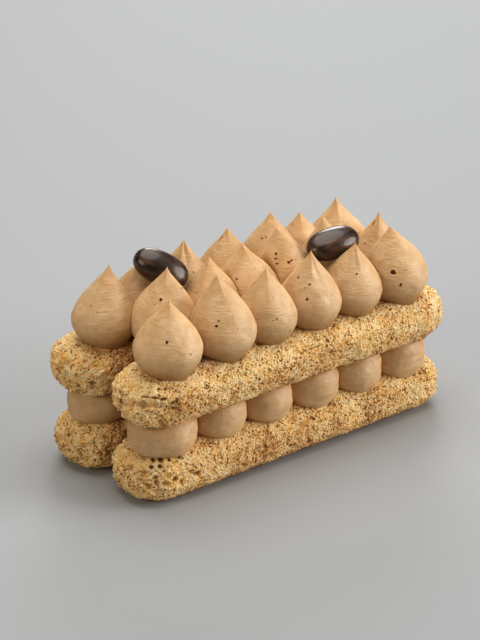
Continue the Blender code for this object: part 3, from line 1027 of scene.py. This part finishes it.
def squeeze(offset: Array, own: Round, bed: list[Round]) -> Array:
    """Push the points of a piece of cream back from its neighbours.

    Args:
        offset: The points in plan, from the piece's centre.
        own: The piece.
        bed: All the pieces of the bed, itself among them.

    Returns:
        The points, none beyond the upright plane halfway to a neighbour.
    """
    planes = []
    for other in bed:
        across = np.array((other.x - own.x, other.y - own.y))
        distance = float(np.hypot(*across))
        if other == own or distance > own.radius + other.radius:
            continue
        # The plane stands where the circles of the two pieces cross.
        planes.append((across / distance, (distance**2 + own.radius**2 - other.radius**2) / (2 * distance)))
    for _ in range(SQUEEZE_PASSES):
        for direction, reach in planes:
            beyond = np.maximum(offset @ direction - reach, 0.0)
            offset = offset - beyond[:, None] * direction
    return offset


@dataclass(frozen=True)
class Bean:
    """One chocolate coffee bean, in millimetres and degrees: domed, with a crease on its flat side."""

    name: str
    x: float
    y: float
    z: float
    roll: float
    dip: float
    yaw: float
    seed: int
    length: float = 16.0
    width: float = 9.3
    thickness: float = 7.6
    crease_depth: float = 0.8
    crease_width: float = 1.3
    dent_depth: float = 6.7
    bluntness: float = 2.3
    under_share: float = 0.8
    under_exponent: float = 0.8
    dimple_depth: float = 0.12
    streak_depth: float = 0.02
    skin: Wrap = Wrap(90, 72)

    def turn(self) -> Array:
        """Return the matrix that turns the bean to the way it lies."""
        angles = (math.radians(self.roll), math.radians(self.dip), math.radians(self.yaw))
        return np.array(Euler(angles).to_matrix())

    def press(self, points: Array) -> Array:
        """Press the bean into cream.

        Args:
            points: The cream's points.

        Returns:
            Those points, with the ones inside the bean pushed down to its underside.
        """
        halves = np.array((self.length, self.width, self.dent_depth)) / 2
        shape = (self.turn() / halves) @ (self.turn() / halves).T
        offset = points - (self.x, self.y, self.z)
        # Straight down from each point, the underside is the lower root of a z2 + 2 b z + c = 0.
        a = shape[2, 2]
        b = offset[:, 0] * shape[0, 2] + offset[:, 1] * shape[1, 2]
        flat = offset[:, :2]
        c = np.einsum("ij,jk,ik->i", flat, shape[:2, :2], flat) - 1
        within = b * b - a * c
        floor = (-b - np.sqrt(np.maximum(within, 0.0))) / a
        pressed = points.copy()
        lower = np.minimum(offset[:, 2], floor)
        pressed[:, 2] = np.where(within > 0, lower + self.z, points[:, 2])
        return pressed

    def build(self, finish: bpy.types.Material) -> bpy.types.Object:
        """Build the bean.

        Args:
            finish: Its material.

        Returns:
            The finished piece.
        """
        ring, around = self.skin.places()
        swing = ring / self.skin.rings * math.pi
        along, across, up = np.cos(swing), np.sin(swing) * np.cos(around), np.sin(swing) * np.sin(around)
        blunt = (np.abs(along) ** self.bluntness + np.abs(across) ** self.bluntness
                 + np.abs(up) ** self.bluntness) ** (-1 / self.bluntness)
        along, across, up = along * blunt, across * blunt, up * blunt
        x, y, z = along * self.length / 2, across * self.width / 2, up * self.thickness / 2
        flat = -self.thickness / 2 * np.abs(up) ** self.under_exponent * self.under_share
        crease = self.crease_depth * np.exp(-((y / self.crease_width) ** 2)) * np.maximum(1 - along**2, 0.0)
        z = np.where(up < 0, flat + crease, z)
        points = np.stack([x, y, z], axis=1)
        grit = Grit(self.seed)
        fine = grit.cloud(points * (0.12, 1.0, 1.0), 0.5)
        coarse = grit.cloud(points * (0.1, 1.0, 1.0), 1.1, 1)
        streak = fine * 0.6 + coarse * 0.4
        dimple = grit.cloud(points, 4.0, 2)
        outward = np.stack([along, across, up], axis=1)
        points = points + outward * (dimple * self.dimple_depth + streak * self.streak_depth)[:, None]
        points = points @ self.turn().T + (self.x, self.y, self.z)
        mesh = new_mesh(self.name, points, self.skin, {"streak": streak * 0.5 + 0.5})
        return place_piece(mesh, self.name, finish)


class Fold(NamedTuple):
    """A sharp pleat that runs down from a peak, or a groove where depth is negative.

    bearing and width are in degrees, depth in millimetres, and low and high are shares of the way
    from the widest ring up to the tip.
    """

    bearing: float
    depth: float
    width: float = 22.0
    low: float = 0.35
    high: float = 1.0


class Pit(NamedTuple):
    """An air hole in a dollop, or a raised scrap where depth is negative.

    bearing and tilt are in degrees and the rest in millimetres: the height above the biscuits, the
    radius, and how many times longer than wide it is along its tilt, where 0 is level.
    """

    bearing: float
    height: float
    radius: float
    stretch: float = 1.0
    tilt: float = 0.0
    depth: float = 1.6


@dataclass(frozen=True)
class Dollop:
    """One piped dollop, in millimetres: a round belly drawn up to a leaning, pleated peak."""

    x: float
    y: float
    radius: float
    height: float
    lean_x: float
    lean_y: float
    belly: float = 1.75
    taper: float = 1.42
    folds: tuple[Fold, ...] = ()
    pits: tuple[Pit, ...] = ()
    widest_at: float = 5.7
    contact: float = 0.70
    ring_crowding: float = 1.15
    tip_length: float = 1.0
    crown_length: float = 6.0
    foot_length: float = 6.0
    wobble: tuple[float, float] = (0.022, 0.006)
    piping: float = 0.008
    pit_zone: float = 1.7
    pit_cuts: int = 4
    lip_at: float = 1.25
    lip_width: float = 0.22
    lip_height: float = 0.12
    surface_seed: int = 200
    tone_seed: int = 300
    base_rings: int = 3
    skin: Wrap = Wrap(60, 84)

    def plan(self) -> Round:
        """Return the piece's place and size in plan."""
        return Round(self.x, self.y, self.radius)

    def climb(self, height: Array) -> Array:
        """Return how far up from the widest ring heights are, where 1 is the tip."""
        return np.clip((height - self.widest_at) / (self.height - self.widest_at), 0.0, 1.0)

    def profile(self, ring: Array) -> tuple[Array, Array, Array]:
        """Work out the dollop's outline.

        Args:
            ring: Ring numbers, from the tip down the flank and in under the base.

        Returns:
            Each ring's share of the radius, its height above the biscuits, and whether it is on
            the bed.
        """
        flank = self.skin.rings - self.base_rings
        height = self.height * (1 - np.minimum(ring / flank, 1.0) ** self.ring_crowding)
        below = np.clip((self.widest_at - height) / self.widest_at, 0.0, 1.0)
        lower = np.sqrt(1 - (1 - self.contact**2) * below**2)
        upper = (1 - self.climb(height) ** self.belly) ** self.taper
        share = np.where(height < self.widest_at, lower, upper)
        base = ring > flank
        share = np.where(base, self.contact * (self.skin.rings - ring) / self.base_rings, share)
        return share, height, base | (ring == flank)

    def pleats(self, angle: Array, up: Array) -> Array:
        """Work out how far the folds push the surface out or in.

        Args:
            angle: The points' bearings.
            up: How far up from the widest ring they are, where 1 is the tip.

        Returns:
            The push outwards in millimetres.
        """
        total = np.zeros(len(angle))
        for fold in self.folds:
            away = np.abs((angle - math.radians(fold.bearing) + math.pi) % math.tau - math.pi)
            crest = np.exp(-away / math.radians(fold.width))
            start = smooth_step(fold.low, fold.low + 0.2, up)
            reach = start * smooth_step(fold.high + 0.04, fold.high - 0.12, up)
            total += fold.depth * crest * reach
        return total

    def shape(self, layers: Layers, bed: list[Round], beans: list[Bean], seed: int) -> Array:
        """Shape the dollop's skin.

        Args:
            layers: The biscuits that it stands on.
            bed: All the dollops in plan, itself among them.
            beans: The beans that press into the dollops.
            seed: Sets its surface apart from the others'.

        Returns:
            The skin's points.
        """
        ring, angle = self.skin.places()
        share, height, on_bed = self.profile(ring)
        up = self.climb(height)
        grit = Grit(self.surface_seed + seed)
        outward = np.stack([np.cos(angle), np.sin(angle)], axis=1)
        spot = np.column_stack([outward * self.radius, height])
        wobble = grit.cloud(spot, 6.0) * self.wobble[0] + grit.cloud(spot, 2.2, 1) * self.wobble[1]
        rings = grit.cloud(spot * (0.15, 0.15, 1.0), 0.9, 2) * self.piping * (1 - up)
        reach = self.radius * share * (1 + wobble + rings) + self.pleats(angle, up)
        offset = outward * reach[:, None]
        offset = offset + np.array((self.lean_x, self.lean_y)) * (up**2)[:, None]
        offset = squeeze(offset, self.plan(), bed)
        x, y = self.x + offset[:, 0], self.y + offset[:, 1]
        z = np.where(on_bed, layers.top_bed(x, y), layers.deck() + height)
        points = np.stack([x, y, z], axis=1)
        for bean in beans:
            points = bean.press(points)
        return points

    def sink_pits(self, mesh: bpy.types.Mesh, floor: float) -> None:
        """Cut the air holes into a mesh, on finer faces round each of them.

        Args:
            mesh: The dollop's mesh, in metres.
            floor: The height in millimetres that the pits' heights start from.
        """
        work = bmesh.new()
        work.from_mesh(mesh)
        hollow = work.verts.layers.float["hollow"]
        for pit in self.pits:
            work.normal_update()
            bearing = math.radians(pit.bearing)
            aim = Vector((math.cos(bearing), math.sin(bearing)))
            centre = min(work.verts, key=lambda vertex: self.miss(vertex, pit, aim, floor))
            middle, normal = centre.co.copy(), centre.normal.copy()
            level = Vector((0, 0, 1)).cross(normal).normalized()
            steep = normal.cross(level)
            tilt = math.radians(pit.tilt)
            along = level * math.cos(tilt) + steep * math.sin(tilt)
            across = normal.cross(along)
            reach = pit.radius * max(pit.stretch, 1.0) * self.pit_zone * MM
            edges = [edge for edge in work.edges if (edge.verts[0].co - middle).length < reach
                     or (edge.verts[1].co - middle).length < reach]
            bmesh.ops.subdivide_edges(work, edges=edges, cuts=self.pit_cuts, use_grid_fill=True)
            for vertex in work.verts:
                offset = vertex.co - middle
                if offset.length > reach * 1.5:
                    continue
                sides = (offset.dot(along) / pit.stretch, offset.dot(across))
                turn = math.atan2(sides[1], sides[0])
                ragged = 1 + 0.1 * math.sin(2 * turn + pit.bearing) + 0.08 * math.sin(3 * turn + pit.height)
                away = math.hypot(*sides) / (pit.radius * MM * ragged)
                if away < 1:
                    vertex.co -= normal * pit.depth * pit.radius * MM * (1 - away**2) ** 0.7
                if pit.depth > 0:
                    bulge = math.exp(-(((away - self.lip_at) / self.lip_width) ** 2))
                    lip = bulge * self.lip_height * pit.radius * MM
                    vertex.co += normal * lip
                    # The pit's inside is stored for painted shade.
                    vertex[hollow] = max(vertex[hollow], 0.85 * max(0.0, min(1.0, (0.95 - away) * 3)))
        bmesh.ops.triangulate(work, faces=[face for face in work.faces if len(face.verts) > 4])
        work.to_mesh(mesh)
        work.free()

    def miss(self, vertex: bmesh.types.BMVert, pit: Pit, aim: Vector, floor: float) -> float:
        """Measure how far a point is from where a pit belongs.

        Args:
            vertex: The point.
            pit: The pit.
            aim: The way of its bearing, in plan.
            floor: The height in millimetres that the pit's height starts from.

        Returns:
            The distance in metres, sideways and up added together.
        """
        offset = Vector((vertex.co.x - self.x * MM, vertex.co.y - self.y * MM))
        sideways = offset - aim * offset.length
        return sideways.length + abs(vertex.co.z - (floor + pit.height) * MM)

    def build(
        self, name: str, layers: Layers, bed: list[Round], beans: list[Bean], seed: int,
        finish: bpy.types.Material,
    ) -> bpy.types.Object:
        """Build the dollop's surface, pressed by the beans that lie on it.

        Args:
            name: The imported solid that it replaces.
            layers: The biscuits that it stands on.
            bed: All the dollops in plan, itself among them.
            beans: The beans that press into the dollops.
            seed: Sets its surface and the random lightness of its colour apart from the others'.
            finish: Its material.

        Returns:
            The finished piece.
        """
        points = self.shape(layers, bed, beans, seed)
        _, height, _ = self.profile(self.skin.places()[0])
        tone_and_painted_light = 0.97 + 0.06 * Grit(self.tone_seed).draws(np.array([[seed, 0, 0]]), 0)[0]
        # Painted highlight at the very tip.
        tip = smooth_step(self.height - self.tip_length, self.height, height)
        # Painted glow: a warm tint through the thin crown, as if lit from within.
        crown_glow = smooth_step(self.height - self.crown_length, self.height, height)
        # Painted shade, darker and warmer, at the foot where the dollop meets the biscuit.
        foot_shade = smooth_step(self.foot_length, 0.0, height)
        stored = {
            "tone_and_painted_light": tone_and_painted_light + 0.3 * tip - 0.3 * foot_shade,
            "warmth_and_painted_light": crown_glow * 0.42 + foot_shade * 0.5,
            "hollow": np.zeros(len(points)),
        }
        mesh = new_mesh(name, points, self.skin, stored)
        self.sink_pits(mesh, layers.deck())
        mesh.shade_smooth()
        return place_piece(mesh, name, finish)


@dataclass(frozen=True)
class Filling:
    """The squashed cream balls of one row between two layers, in millimetres."""

    side: Side
    balls: tuple[Round, ...]
    seed: int
    contact: float = 0.76
    spread: float = 0.14
    thickness: float = 8.0
    wobble: float = 0.025
    piping: float = 0.024
    shaded_end: tuple[float, float] = (-38.0, -46.0)
    cap_rings: int = 3
    skin: Wrap = Wrap(36, 72)

    def build(self, layers: Layers, finish: bpy.types.Material) -> list[bpy.types.Object]:
        """Build every ball of the row.

        Args:
            layers: The biscuits that it lies between.
            finish: The balls' material.

        Returns:
            The finished pieces.
        """
        ring, angle = self.skin.places()
        from_rim = np.minimum(ring, self.skin.rings - ring)
        flank = self.skin.rings / 2 - self.cap_rings
        swing = np.clip((from_rim - self.cap_rings) / flank, 0.0, 1.0)
        share = np.where(
            from_rim < self.cap_rings,
            self.contact * from_rim / self.cap_rings,
            np.sqrt(1 - (1 - self.contact**2) * (1 - swing) ** 2),
        )
        level = 0.5 + np.where(ring < self.skin.rings / 2, 0.5, -0.5) * (1 - swing)
        outward = np.stack([np.cos(angle), np.sin(angle)], axis=1)
        flat = 1 - swing
        stretch = np.stack([1 + self.spread * flat, 1 - self.spread * 0.5 * flat], axis=1)
        pieces = []
        for number, ball in enumerate(self.balls):
            grit = Grit(self.seed + number)
            spot = np.column_stack([outward * ball.radius, level * self.thickness])
            wobble = grit.cloud(spot, 5.0) * self.wobble
            rings = grit.cloud(spot * (0.12, 0.12, 1.0), 0.8, 2) * self.piping
            offset = outward * stretch * (ball.radius * share * (1 + wobble + rings))[:, None]
            offset = squeeze(offset, ball, list(self.balls))
            x, y = ball.x + offset[:, 0], ball.y + offset[:, 1]
            low, high = layers.gap_faces(self.side, x, y)
            points = np.stack([x, y, low + (high - low) * level], axis=1)
            name = f"filling_{self.side.value}_{number + 1}"
            # Painted shade, darker and warmer, at the rims against the biscuits.
            rim_shade = smooth_step(0.3, 0.0, level) + smooth_step(0.7, 1.0, level)
            # Painted shade also darkens the balls at the left end of the row.
            tone_and_painted_light = 0.99 - 0.12 * smooth_step(*self.shaded_end, x) - rim_shade * 0.08
            stored = {"tone_and_painted_light": tone_and_painted_light, "warmth_and_painted_light": 0.06 + rim_shade * 0.3, "hollow": np.zeros(len(points))}
            mesh = new_mesh(name, points, self.skin, stored)
            pieces.append(place_piece(mesh, name, finish))
        return pieces


@dataclass(frozen=True)
class Topping:
    """The three rows of dollops and the two beans on them."""

    front: tuple[Dollop, ...] = (
        Dollop(-38.3, -14.0, 9.4, 20.1, 0.3, -0.4,
               folds=(Fold(-118, 0.35, 30, 0.35), Fold(60, 0.3), Fold(170, 0.25)),
               pits=(Pit(-128.3, 10.9, 0.4, 1.5, 80), Pit(-84, 7.2, 0.25))),
        Dollop(-20.7, -14.4, 9.2, 22.1, -0.8, 1.4, 1.85, 1.3,
               (Fold(-108, 0.35, 20, 0.55), Fold(150, 0.3), Fold(20, 0.3)),
               (Pit(-136.6, 10.8, 0.45), Pit(-134.8, 11.95, 0.28), Pit(-112, 13.9, 0.18))),
        Dollop(-5.7, -14.0, 8.5, 19.9, 0.0, 0.0,
               folds=(Fold(-119, 0.65, 30, 0.15), Fold(150, 0.3), Fold(0, 0.3)),
               pits=(Pit(152, 15.0, 0.32, 5.0, 80), Pit(-107, 13.1, 0.22), Pit(-114.4, 7.8, 0.22),
                     Pit(-106, 8.0, 0.22, 1.6), Pit(-77, 3.5, 0.3, 1.6, 50))),
        Dollop(9.0, -14.1, 8.9, 21.0, 0.2, -0.5,
               folds=(Fold(-122, 0.6, 13, 0.5), Fold(-98, -0.5, 12, 0.45, 0.9), Fold(50, 0.3),
                      Fold(160, 0.3)),
               pits=(Pit(-171, 14.3, 0.36), Pit(-129.4, 13.2, 0.3, 1.3, 30), Pit(-140.5, 12.4, 0.24),
                     Pit(-131.8, 9.8, 0.42), Pit(-79, 9.7, 0.24))),
        Dollop(23.5, -14.1, 8.8, 19.4, 0.8, -0.9,
               folds=(Fold(-140, 0.35, 18, 0.5), Fold(-120, -0.3, 9, 0.5, 0.9), Fold(-102, 0.5, 14, 0.4),
                      Fold(40, 0.3)),
               pits=(Pit(-113, 12.1, 0.32), Pit(-134, 10.6, 0.2))),
        Dollop(38.7, -14.9, 9.2, 20.2, -1.4, 1.2, 2.0, 1.35, (Fold(-80, 0.4, 25, 0.5), Fold(170, 0.3)),
               (Pit(-134.7, 9.7, 0.7, 1.35), Pit(-118.5, 6.2, 0.4, 1.5, 60), Pit(-109, 10.1, 0.22),
                Pit(-118, 12.25, 0.18))),
    )
    middle: tuple[Dollop, ...] = (
        Dollop(-29.5, 0.0, 9.4, 21.6, 1.0, -0.5, 1.85, 1.42,
               (Fold(-125, 0.4, 20, 0.55), Fold(-85, -0.3, 18, 0.3, 0.75), Fold(40, 0.3)),
               (Pit(-132.4, 14.5, 0.48), Pit(-40.3, 15.6, 0.5, 1.2, 30, -1.0), Pit(-146, 13.2, 0.2))),
        Dollop(-14.1, 0.2, 9.3, 20.2, 0.1, 0.0, folds=(Fold(-145, 0.45, 25), Fold(-30, 0.3)),
               pits=(Pit(-160, 12.0, 0.22), Pit(20, 9.0, 0.4))),
        Dollop(-1.4, -0.2, 9.6, 21.1, -1.5, 0.8, 2.1, 1.6, (Fold(-95, 0.3, 25, 0.4), Fold(30, 0.3)),
               (Pit(-154, 12.9, 0.32), Pit(-102, 15.1, 0.2), Pit(60, 11.0, 0.35))),
        Dollop(12.1, 0.0, 9.1, 22.3, -2.6, 0.7, 1.7, 1.05, (Fold(-70, 0.35, 25), Fold(60, 0.3)),
               (Pit(-158, 15.9, 0.4), Pit(-155, 14.9, 0.26, 2.4, 25), Pit(-151, 13.6, 0.28, 2.0),
                Pit(-123.5, 14.1, 0.45), Pit(-113, 14.3, 0.32, 1.4, 20), Pit(-100, 14.4, 0.2))),
        Dollop(26.1, 0.1, 8.9, 21.0, -0.5, 0.5, 1.4, 1.1, (Fold(-140, 0.3), Fold(20, 0.3)),
               (Pit(40, 10.0, 0.35),)),
        Dollop(43.6, -0.9, 8.5, 18.4, 0.6, -0.2, 1.25, 1.42, (Fold(-125, 0.45, 20), Fold(30, 0.3)),
               (Pit(-176, 15.0, 0.3, 3.2, 80), Pit(-167, 10.3, 0.24), Pit(10, 9.0, 0.4))),
    )
    back: tuple[Dollop, ...] = (
        Dollop(-40.7, 11.4, 9.2, 20.7, 1.8, 0.2, 1.7, 1.42,
               (Fold(-150, 0.3, 25, 0.5), Fold(-70, 0.35, 22, 0.5)),
               (Pit(-141.6, 10.6, 0.26), Pit(-163, 11.7, 0.24), Pit(80, 9.0, 0.4))),
        Dollop(-28.6, 12.5, 9.3, 17.0, -1.5, 0.6, 1.6, 1.1, (), (Pit(100, 8.0, 0.35),)),
        Dollop(-14.1, 12.5, 9.2, 20.8, 0.5, -0.2,
               folds=(Fold(-138, 0.6, 14, 0.5), Fold(-110, -0.6, 12, 0.45, 0.92), Fold(-80, 0.5, 16, 0.5),
                      Fold(80, 0.3)),
               pits=(Pit(-95, 13.0, 0.25), Pit(70, 11.0, 0.35, 1.5))),
        Dollop(1.5, 12.1, 9.4, 20.3, -0.2, 0.4, folds=(Fold(-115, 0.4, 20, 0.5), Fold(90, 0.3)),
               pits=(Pit(163, 17.3, 0.28, 4.0, 75), Pit(110, 10.0, 0.3))),
        Dollop(16.4, 12.4, 9.4, 20.7, 0.3, 0.4,
               folds=(Fold(-75, 0.3), Fold(100, 0.3, 30), Fold(-150, 0.3)),
               pits=(Pit(-160, 14.5, 0.32), Pit(-146, 15.0, 0.26), Pit(60, 8.0, 0.4))),
        Dollop(26.7, 12.0, 8.7, 18.5, -0.4, 0.1, 1.6, 1.42, (Fold(-120, 0.3), Fold(70, 0.3)),
               (Pit(120, 12.0, 0.25), Pit(85, 7.0, 0.3))),
        Dollop(39.9, 11.9, 9.3, 19.6, -0.8, 0.1, 1.55, 1.5, (Fold(-120, 0.7, 18, 0.3), Fold(60, 0.3)),
               (Pit(100, 10.5, 0.42, 1.3), Pit(30, 6.0, 0.25))),
    )
    left_bean: Bean = Bean("coffee_bean_left", -25.5, 6.6, 54.35, 34.0, 28.0, -36.5, 70)
    right_bean: Bean = Bean("coffee_bean_right", 22.9, -7.0, 53.25, 21.5, -4.5, -4.0, 71)

    def build(
        self, layers: Layers, cream: bpy.types.Material, chocolate: bpy.types.Material
    ) -> list[bpy.types.Object]:
        """Build the dollops and the beans that press into them.

        Args:
            layers: The biscuits that they stand on.
            cream: The dollops' material.
            chocolate: The beans' material.

        Returns:
            The finished pieces.
        """
        rows = {"front": self.front, "middle": self.middle, "back": self.back}
        bed = [dollop.plan() for row in rows.values() for dollop in row]
        beans = [self.left_bean, self.right_bean]
        pieces = []
        for label, row in rows.items():
            for number, dollop in enumerate(row):
                name = f"dollop_{label}_{number + 1}"
                pieces.append(dollop.build(name, layers, bed, beans, len(pieces), cream))
        return pieces + [bean.build(chocolate) for bean in beans]


@dataclass(frozen=True)
class Camera:
    """The photograph's viewpoint, fitted to the biscuits, in millimetres, degrees and pixels.

    The point aimed at lands on its own pixel, and the camera stays level.
    """

    aim: tuple[float, float, float] = (1.3, -11.0, -0.35)
    aim_pixel: tuple[float, float] = (278.77, 444.0)
    picture: tuple[float, float] = (480.0, 640.0)
    azimuth: float = -38.15
    elevation: float = 28.29
    distance: float = 855.37
    focal_pixels: float = 3086.88
    sensor: float = 36.0

    def build(self) -> None:
        """Make the scene's camera."""
        lens = bpy.data.cameras.new("camera")
        lens.sensor_width = self.sensor
        lens.lens = self.focal_pixels / max(self.picture) * self.sensor
        lens.clip_start, lens.clip_end = 10 * MM, 10.0
        camera = add_object("camera", lens)
        bpy.context.scene.camera = camera
        turn, tip = math.radians(self.azimuth), math.radians(self.elevation)
        back = Vector((math.sin(turn) * math.cos(tip), -math.cos(turn) * math.cos(tip), math.sin(tip)))
        right = self.aim_pixel[0] - self.picture[0] / 2
        up = self.picture[1] / 2 - self.aim_pixel[1]
        # These turns keep the camera level while the aim stays on its own pixel.
        reach = math.hypot(self.focal_pixels, up)
        ray = math.hypot(reach, right)
        level_tip = math.atan2(up, self.focal_pixels) + math.asin(ray * math.sin(tip) / reach)
        ahead = self.focal_pixels * math.cos(level_tip) + up * math.sin(level_tip)
        level_turn = turn + math.atan2(right, ahead)
        camera.rotation_euler = (math.pi / 2 - level_tip, 0.0, level_turn)
        camera.location = (Vector(self.aim) + back * self.distance) * MM


@dataclass(frozen=True)
class Lamp:
    """A round soft light, in metres and watts, aimed at the middle of the slice."""

    name: str
    place: tuple[float, float, float]
    width: float
    power: float
    tint: tuple[float, float, float] = (1.0, 1.0, 1.0)
    aim: tuple[float, float, float] = (0.0, 0.0, 0.03)

    def build(self) -> None:
        """Make the light."""
        light = bpy.data.lights.new(self.name, "AREA")
        light.shape = "DISK"
        light.size = self.width
        light.energy = self.power
        light.color = self.tint
        lamp = add_object(self.name, light)
        lamp.location = self.place
        back = Vector(self.place) - Vector(self.aim)
        lamp.rotation_euler = back.to_track_quat("Z", "Y").to_euler()


@dataclass(frozen=True)
class Studio:
    """The plain floor, the soft lights and the camera."""

    floor_size: float = 8.0
    ambient: float = 0.15
    bounce_tint: Colour = (1.0, 0.85, 0.62, 1.0)
    lamps: tuple[Lamp, ...] = (
        Lamp("overhead", (0.1, 0.13, 0.85), 1.0, 8.2, (0.98, 1.0, 1.03)),
        Lamp("right", (1.4, -1.08, 0.6), 1.4, 29.5, (0.98, 1.0, 1.03)),
        Lamp("left", (-0.78, -0.05, 0.42), 0.5, 2.5, (1.0, 0.93, 0.8)),
        Lamp("front", (0.55, -0.7, 0.2), 0.4, 1.0, (1.0, 0.96, 0.9)),
        Lamp("behind", (0.5, 0.64, 0.4), 0.35, 2.6),
    )
    contrast: float = 0.9
    camera: Camera = Camera()

    def build(self) -> None:
        """Build the studio."""
        mesh = bpy.data.meshes.new("floor")
        half = self.floor_size / 2
        corners = [(-half, -half, 0), (half, -half, 0), (half, half, 0), (-half, half, 0)]
        mesh.from_pydata(corners, [], [(0, 1, 2, 3)])
        mesh.materials.append(FloorFinish().make())
        floor = add_object("floor", mesh)
        world = bpy.data.worlds.new("studio")
        world.use_nodes = True
        sky = world.node_tree.nodes["Background"]
        sky.inputs["Strength"].default_value = self.ambient
        sky.inputs["Color"].default_value = self.bounce_tint
        bpy.context.scene.world = world
        for lamp in self.lamps:
            lamp.build()
        self.camera.build()
        display = bpy.context.scene.view_settings
        display.view_transform = "Standard"
        display.gamma = self.contrast


def main() -> None:
    """Build the studio and every piece of the slice, and report the pieces."""
    logging.basicConfig(level=logging.INFO, format="%(message)s")
    Studio().build()
    cream = CreamFinish().make()
    layers = Layers()
    pieces = layers.build(SpongeFinish().make())
    front = (Round(-39.7, -12.9, 9.4), Round(-22.4, -13.6, 8.2), Round(-6.6, -13.9, 8.0),
             Round(9.2, -14.1, 8.2), Round(24.6, -14.3, 8.0), Round(40.0, -14.4, 8.0))
    back = (Round(-42.2, 12.3, 8.9), Round(-26.8, 12.2, 8.3), Round(-11.0, 11.6, 8.1),
            Round(4.6, 12.4, 8.4), Round(20.4, 11.9, 8.0), Round(36.2, 12.3, 8.5))
    pieces += Filling(Side.FRONT, front, 400).build(layers, cream)
    pieces += Filling(Side.BACK, back, 450).build(layers, cream)
    pieces += Topping().build(layers, cream, ChocolateFinish().make())
    for piece in pieces:
        LOG.info("%s has %d points", piece.name, len(piece.data.vertices))


if __name__ == "__main__":
    main()
